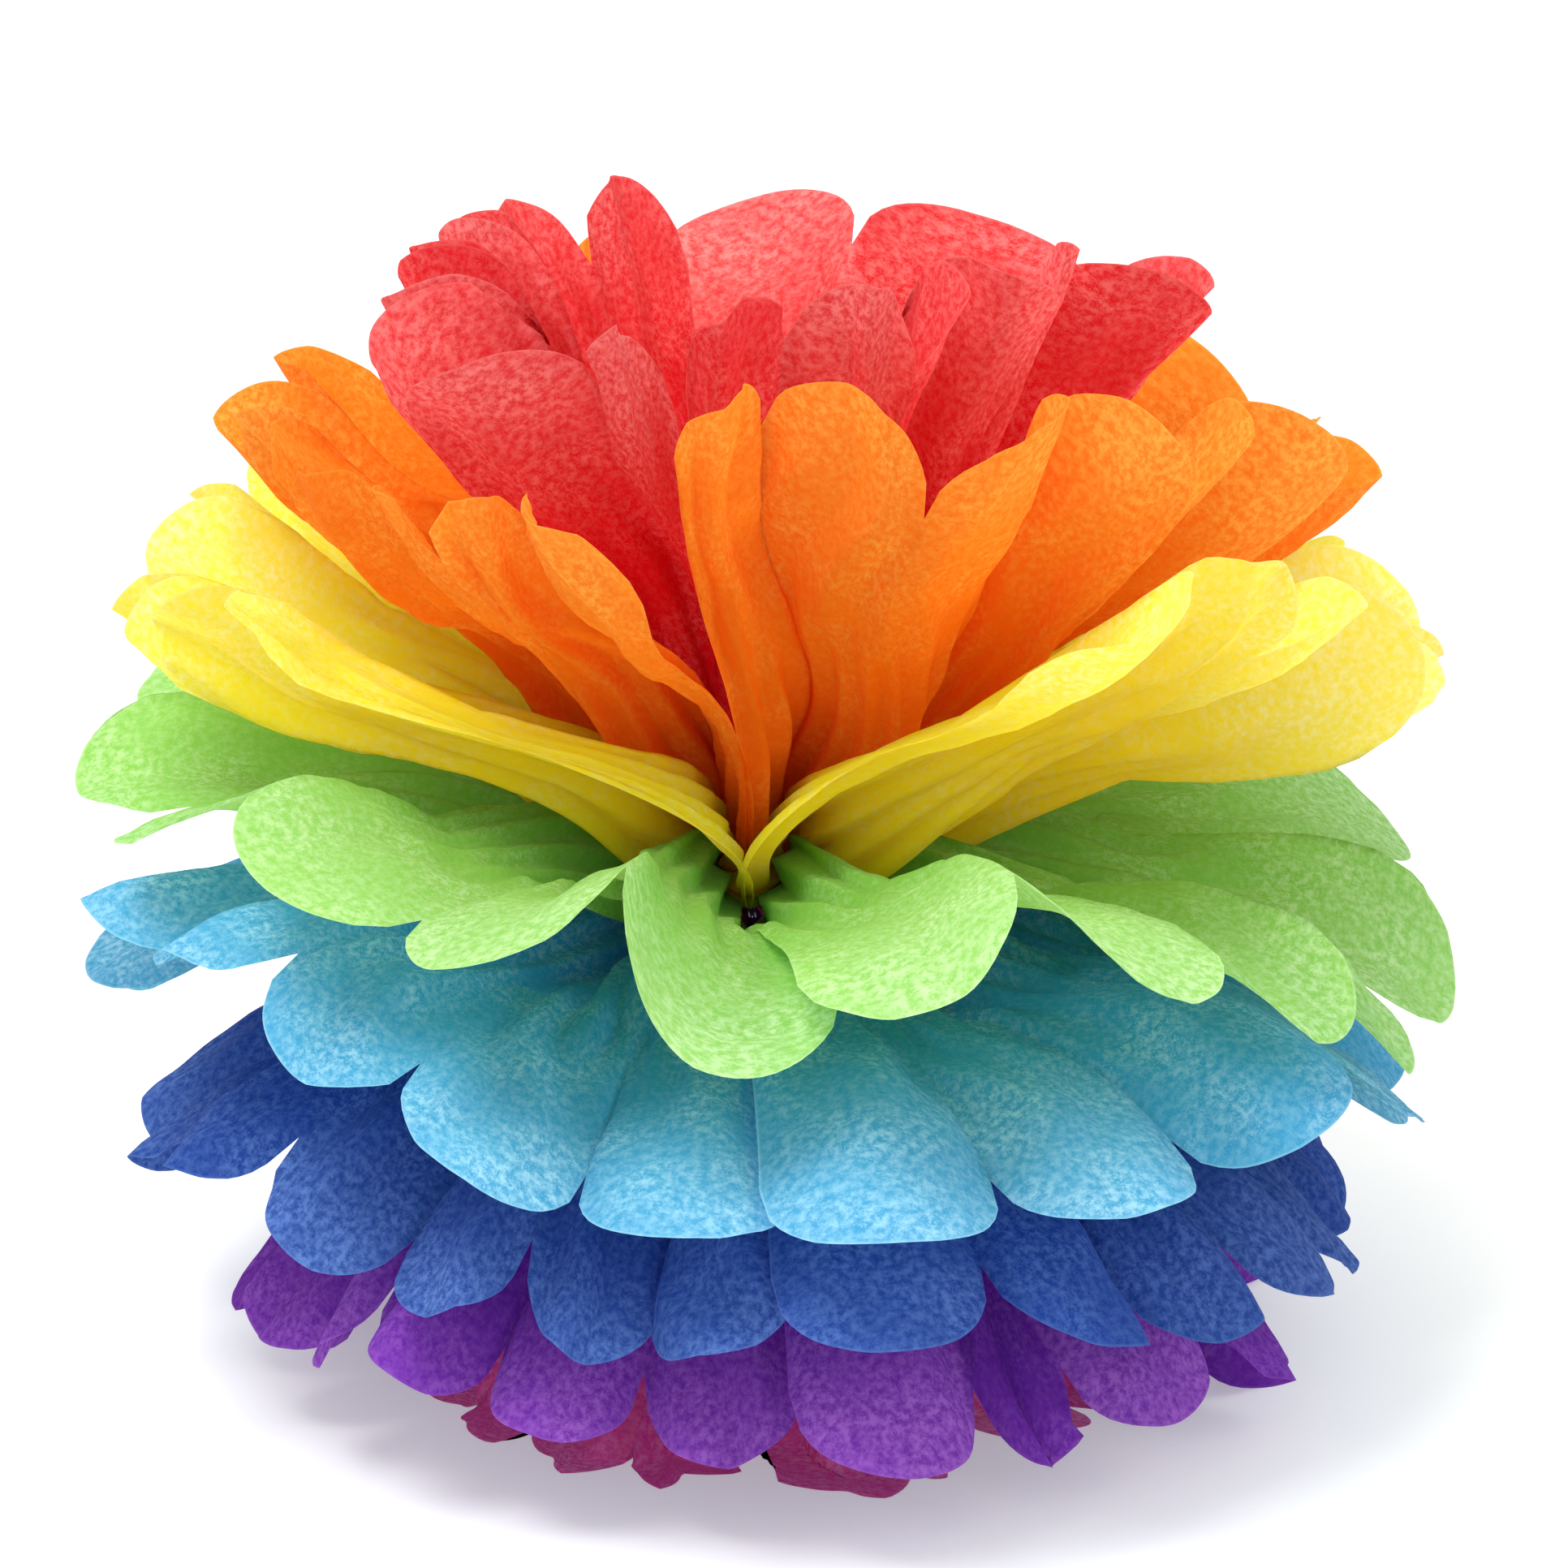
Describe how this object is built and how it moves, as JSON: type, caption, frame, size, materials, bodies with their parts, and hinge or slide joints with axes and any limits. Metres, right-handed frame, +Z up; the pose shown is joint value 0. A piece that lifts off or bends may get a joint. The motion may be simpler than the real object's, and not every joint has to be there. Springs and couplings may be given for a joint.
{
  "type": "tissue paper pom pom",
  "caption": "Rainbow pom pom of pleated tissue paper sheets, cinched at the waist and fanned into petals, standing on its lower petals.",
  "frame": {"origin": "on the surface that it stands on, in the middle of the petals' outline", "axes": "+Z up, from the pink petals to the red ones; the sheets' pleats run along X at the tied waist, and -Y is the front"},
  "size_m": [0.2466, 0.2696, 0.2081],
  "materials": {
    "red_tissue": "thin matt tissue that light shines through",
    "orange_tissue": "thin matt tissue that light shines through",
    "yellow_tissue": "thin matt tissue that light shines through",
    "green_tissue": "thin matt tissue that light shines through",
    "sky_blue_tissue": "thin matt tissue that light shines through",
    "dark_blue_tissue": "thin matt tissue that light shines through",
    "purple_tissue": "thin matt tissue that light shines through",
    "pink_tissue": "thin matt tissue that light shines through",
    "wire": "bare thin wire",
    "thread": "thin dark thread"
  },
  "bodies": {
    "root": {"red_sheet": "red_tissue", "orange_sheet": "orange_tissue", "yellow_sheet": "yellow_tissue", "green_sheet": "green_tissue", "sky_blue_sheet": "sky_blue_tissue", "dark_blue_sheet": "dark_blue_tissue", "purple_sheet": "purple_tissue", "pink_sheet": "pink_tissue", "waist_wire": "wire", "hanging_loop": "thread"}
  },
  "joints": []
}
